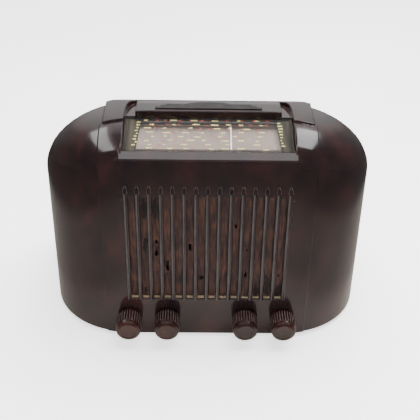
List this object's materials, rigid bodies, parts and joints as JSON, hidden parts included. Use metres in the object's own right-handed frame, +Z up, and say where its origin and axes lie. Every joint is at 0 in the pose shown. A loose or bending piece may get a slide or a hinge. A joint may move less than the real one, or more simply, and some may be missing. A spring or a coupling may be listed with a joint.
{
  "type": "tabletop radio",
  "caption": "Moulded mantel radio with a sloping glass dial, ribbed loudspeaker grille and a row of front knobs, with its works inside.",
  "frame": {"origin": "centre of the whole set's footprint, knobs included, on the surface it stands on", "axes": "+X to the right seen from the front, +Y from the knobs to the back, +Z up"},
  "size_m": [0.384, 0.228, 0.2812],
  "materials": {
    "cabinet_bakelite": "polished moulded phenolic, very dark brown with faint reddish mottling",
    "knob_bakelite": "polished moulded phenolic, dark red-brown",
    "rubber": "soft black rubber",
    "grille_cloth": "woven brown and orange loudspeaker cloth, worn through in places",
    "plywood": "thin plywood stained black",
    "brass": "machined brass, slightly tarnished",
    "dial_glass": "clear flat glass",
    "dial_reflector": "pale pinkish grey enamel behind the printed glass",
    "zinc_steel": "zinc-plated sheet steel",
    "bright_steel": "drawn bright steel",
    "off_white_paint": "off-white painted wire",
    "dial_cord": "waxed braided dial cord",
    "drum_metal": "die-cast zinc alloy, dull",
    "phenolic_board": "brown laminated phenolic board",
    "aluminium": "spun and pressed aluminium",
    "valve_base": "black phenolic valve base",
    "valve_glass": "clear blown glass",
    "black_paint": "black stoving enamel",
    "waxed_paper": "waxed paper tube",
    "cone_paper": "dark pulp paper",
    "lamp_glass": "small glass bulb in a plated holder",
    "fibreboard": "pressed brown fibreboard"
  },
  "bodies": {
    "cabinet": {"cabinet": "cabinet_bakelite", "badge_plate": "black_paint", "feet": "rubber", "grille_cloth": "grille_cloth", "baffle_board": "plywood", "baffle_screws": "brass", "dial_glass": "dial_glass", "dial_gasket": "rubber", "dial_backplate": "dial_reflector", "dial_brackets": "zinc_steel", "dial_frame": "zinc_steel", "pointer_rail": "bright_steel", "pulley_studs": "bright_steel", "pointer_cord": "dial_cord", "drive_cord": "dial_cord", "tuning_bush": "brass", "volume_control": "phenolic_board", "tone_control": "phenolic_board", "band_switch": "phenolic_board", "control_nuts": "brass", "chassis": "zinc_steel", "chassis_bolts": "zinc_steel", "gang_frame": "zinc_steel", "gang_stator": "aluminium", "valve_sockets": "phenolic_board", "valve_bases": "valve_base", "valve_glass": "valve_glass", "if_cans": "aluminium", "electrolytic_can": "aluminium", "power_transformer": "black_paint", "output_transformer": "black_paint", "paper_capacitors": "waxed_paper", "speaker_frame": "zinc_steel", "speaker_magnet": "black_paint", "speaker_bolts": "zinc_steel", "dial_lamps": "lamp_glass", "back_cover": "fibreboard", "back_cover_screws": "brass", "mains_grommet": "rubber", "aerial_earth_sockets": "phenolic_board"},
    "tuning_knob": {"tuning_knob": "knob_bakelite", "tuning_knob_screw": "bright_steel", "tuning_spindle": "bright_steel"},
    "volume_knob": {"volume_knob": "knob_bakelite", "volume_knob_screw": "bright_steel", "volume_shaft": "bright_steel"},
    "tone_knob": {"tone_knob": "knob_bakelite", "tone_knob_screw": "bright_steel", "tone_shaft": "bright_steel"},
    "band_knob": {"band_knob": "knob_bakelite", "band_knob_screw": "bright_steel", "band_shaft": "bright_steel"},
    "gang_rotor": {"gang_rotor": "aluminium", "drive_drum": "drum_metal"},
    "pointer": {"pointer": "off_white_paint", "pointer_carriage": "brass"},
    "pulley_left": {"pulley_left": "brass"},
    "pulley_right": {"pulley_right": "brass"},
    "pulley_lower": {"pulley_lower": "brass"},
    "speaker_cone": {"speaker_cone": "cone_paper"}
  },
  "joints": [
    {"name": "gang_turn", "type": "hinge", "parent": "cabinet", "child": "gang_rotor", "pos_m": [0.085, 0, 0.114], "axis": [0, 1, 0], "range_deg": [-124, 55.5]},
    {"name": "tuning_knob_turn", "type": "hinge", "parent": "cabinet", "child": "tuning_knob", "pos_m": [0.093, -0.1, 0.03], "axis": [0, 1, 0], "range_deg": [-1489, 667]},
    {"name": "pointer_slide", "type": "slide", "parent": "cabinet", "child": "pointer", "axis": [1, 0, 0], "range_m": [-0.091, 0.041]},
    {"name": "pulley_left_turn", "type": "hinge", "parent": "cabinet", "child": "pulley_left", "pos_m": [-0.09, -0.02, 0.25], "axis": [0, 1, 0], "range_deg": [-652, 292]},
    {"name": "pulley_right_turn", "type": "hinge", "parent": "cabinet", "child": "pulley_right", "pos_m": [0.119, -0.02, 0.25], "axis": [0, 1, 0], "range_deg": [-652, 292]},
    {"name": "pulley_lower_turn", "type": "hinge", "parent": "cabinet", "child": "pulley_lower", "pos_m": [0.035, -0.02, 0.234], "axis": [0, 1, 0], "range_deg": [-292, 652]},
    {"name": "volume_knob_turn", "type": "hinge", "parent": "cabinet", "child": "volume_knob", "pos_m": [-0.093, -0.1, 0.03], "axis": [0, 1, 0], "range_deg": [-60, 240]},
    {"name": "tone_knob_turn", "type": "hinge", "parent": "cabinet", "child": "tone_knob", "pos_m": [-0.047, -0.1, 0.03], "axis": [0, 1, 0], "range_deg": [-150, 150]},
    {"name": "band_knob_turn", "type": "hinge", "parent": "cabinet", "child": "band_knob", "pos_m": [0.047, -0.1, 0.03], "axis": [0, 1, 0], "range_deg": [-30, 30]},
    {"name": "speaker_cone_move", "type": "slide", "parent": "cabinet", "child": "speaker_cone", "axis": [0, 1, 0], "range_m": [-0.001, 0.001], "stiffness_N_per_m": 2000}
  ],
  "couplings": [
    {"joint": "tuning_knob_turn", "follows": "gang_turn", "ratio": 12},
    {"joint": "pointer_slide", "follows": "gang_turn", "m_per_rad": 0.042},
    {"joint": "pulley_left_turn", "follows": "gang_turn", "ratio": 5.25},
    {"joint": "pulley_right_turn", "follows": "gang_turn", "ratio": 5.25},
    {"joint": "pulley_lower_turn", "follows": "gang_turn", "ratio": -5.25}
  ]
}
